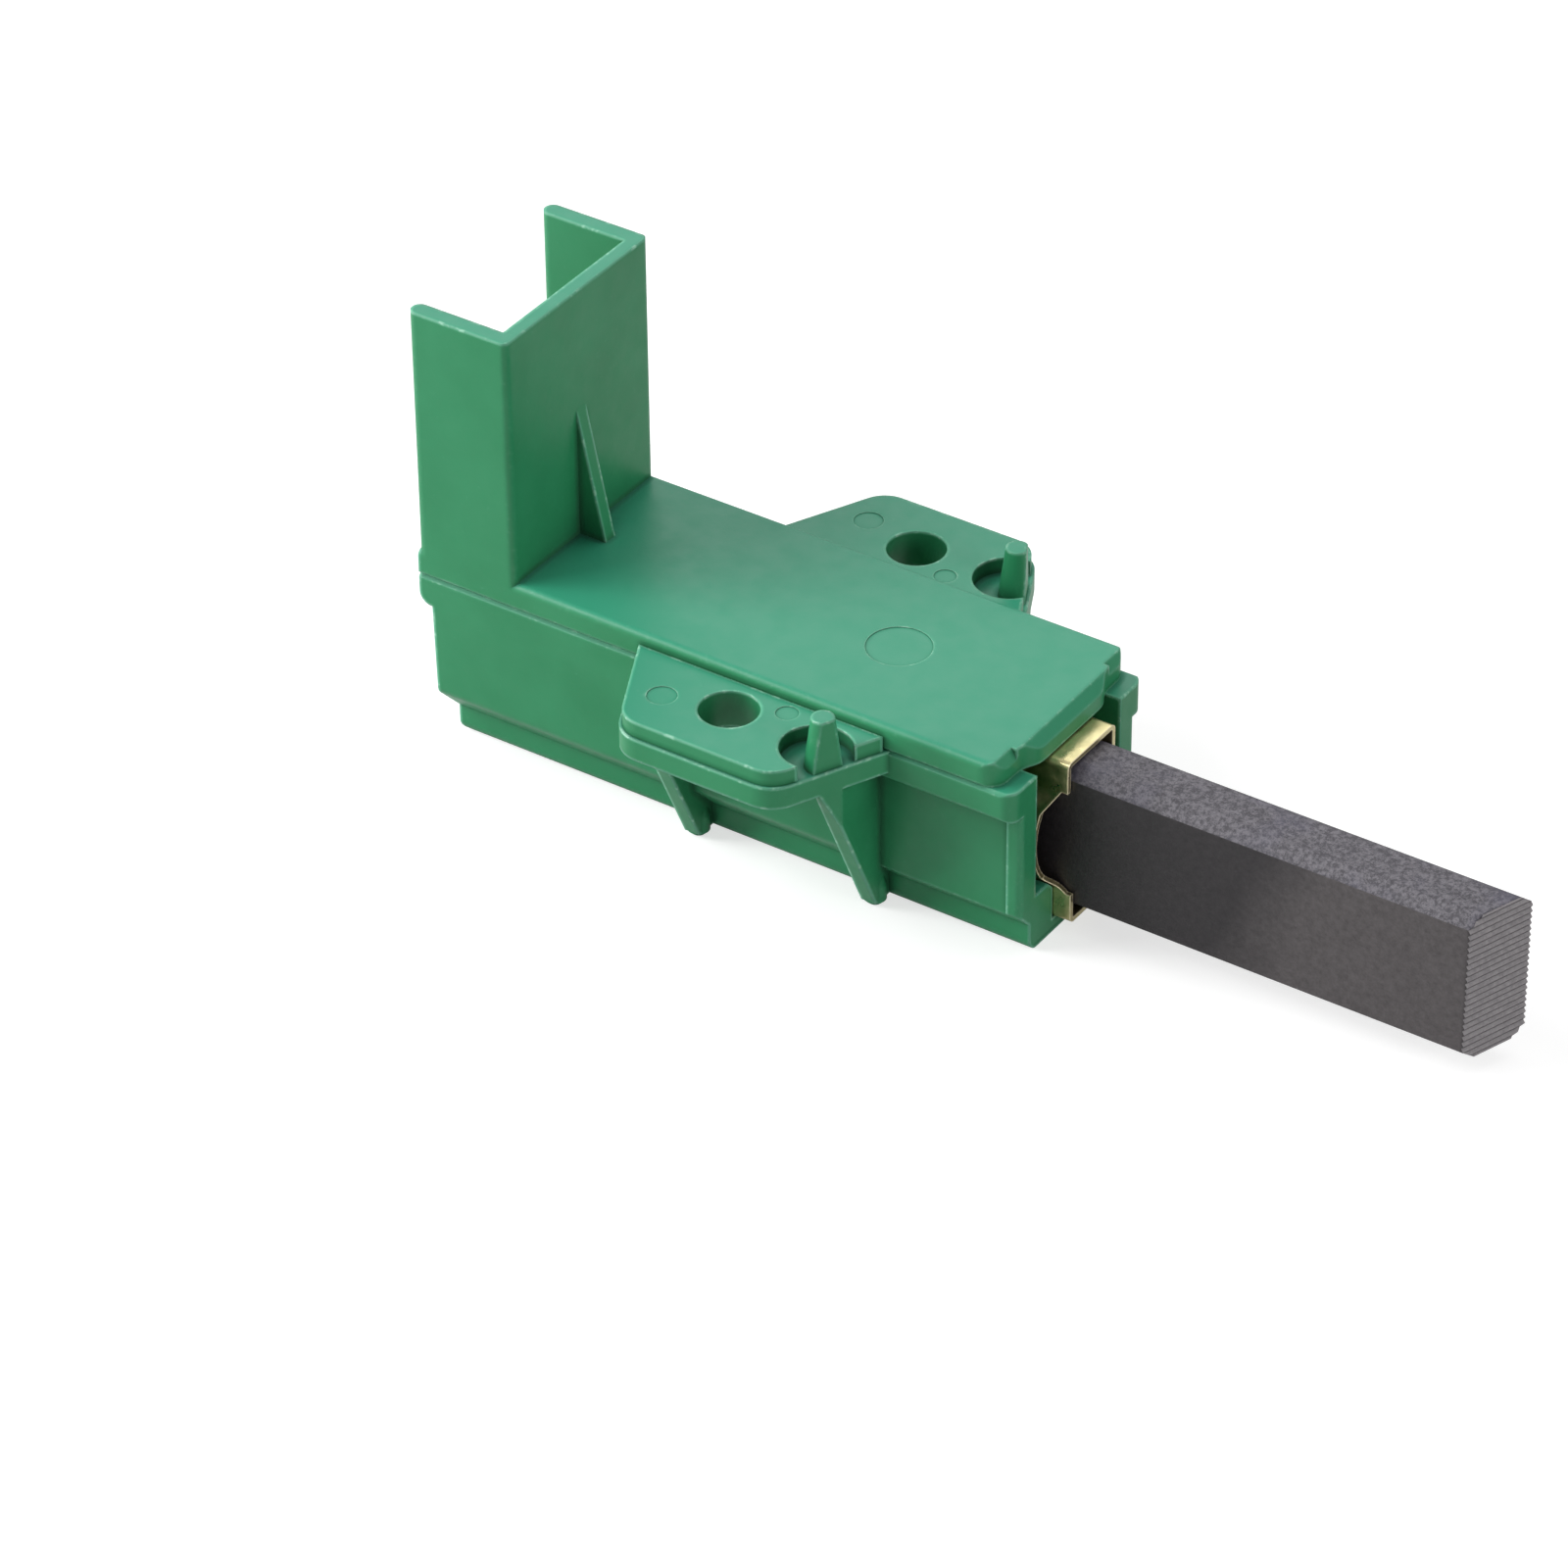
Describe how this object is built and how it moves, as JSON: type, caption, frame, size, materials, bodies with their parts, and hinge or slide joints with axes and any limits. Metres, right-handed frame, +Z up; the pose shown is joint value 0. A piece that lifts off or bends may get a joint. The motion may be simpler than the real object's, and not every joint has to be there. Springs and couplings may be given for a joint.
{
  "type": "carbon brush",
  "caption": "Boxed motor brush: a coil spring pushes a carbon out of a brass guide tube, held in a moulded case with screw ears and a connector shroud.",
  "frame": {"origin": "midway between the two screw holes, on the underside of the ears", "axes": "+X forward along the carbon, +Y across to the ear on the left hand seen from behind, +Z up along the screws towards the cover and the connector shroud"},
  "size_m": [0.0808, 0.0326, 0.0353],
  "materials": {
    "green_plastic": "satin moulded, green",
    "brass": "rolled sheet, bright cut edges",
    "spring_steel": "drawn wire",
    "copper": "fine braid, dull",
    "carbon": "pressed graphite, dull with a slight sheen"
  },
  "bodies": {
    "holder": {"case": "green_plastic", "cover": "green_plastic", "guide_tube": "brass", "terminal": "brass", "spring": "spring_steel", "shunt": "copper"},
    "brush": {"carbon": "carbon", "copper_plug": "copper"}
  },
  "joints": [
    {"name": "brush_slide", "type": "slide", "parent": "holder", "child": "brush", "axis": [1, 0, 0], "range_m": [-0.028, 0], "stiffness_N_per_m": 108, "springref_m": 0.015, "deforming": ["spring", "shunt"]}
  ]
}
